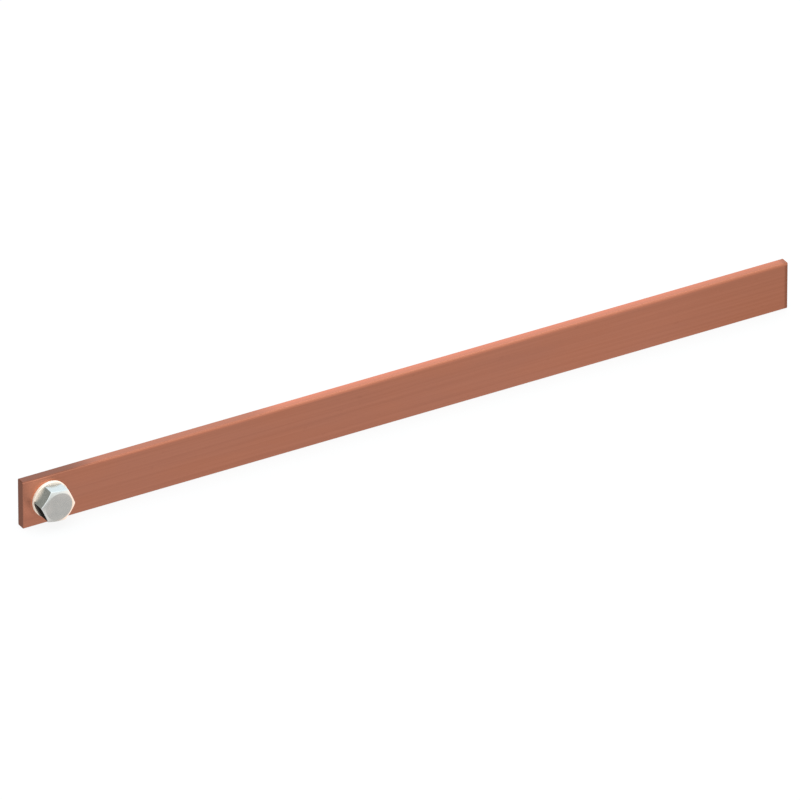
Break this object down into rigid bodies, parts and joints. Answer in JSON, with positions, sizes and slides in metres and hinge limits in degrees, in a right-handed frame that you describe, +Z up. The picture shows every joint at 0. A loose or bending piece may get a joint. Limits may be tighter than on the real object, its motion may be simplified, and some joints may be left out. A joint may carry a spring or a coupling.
{
  "type": "copper busbar",
  "caption": "Flat drawn copper bar for carrying current, with a hexagon bolt, plain washer and thin nut as the cable terminal at one end.",
  "frame": {"origin": "middle of the bar's lower edge, halfway along its length and on the middle of its thickness", "axes": "+X along the bar away from the bolted end, -Y out of the front face where the bolt head is, +Z up across the bar's width"},
  "size_m": [0.5, 0.0289, 0.03],
  "materials": {
    "copper": "drawn copper, satin, with fine lines along the length",
    "zinc_plated_steel": "bright zinc plating, satin"
  },
  "bodies": {
    "root": {"busbar": "copper", "hex_bolt": "zinc_plated_steel", "plain_washer": "zinc_plated_steel", "hex_nut": "zinc_plated_steel"}
  },
  "joints": []
}
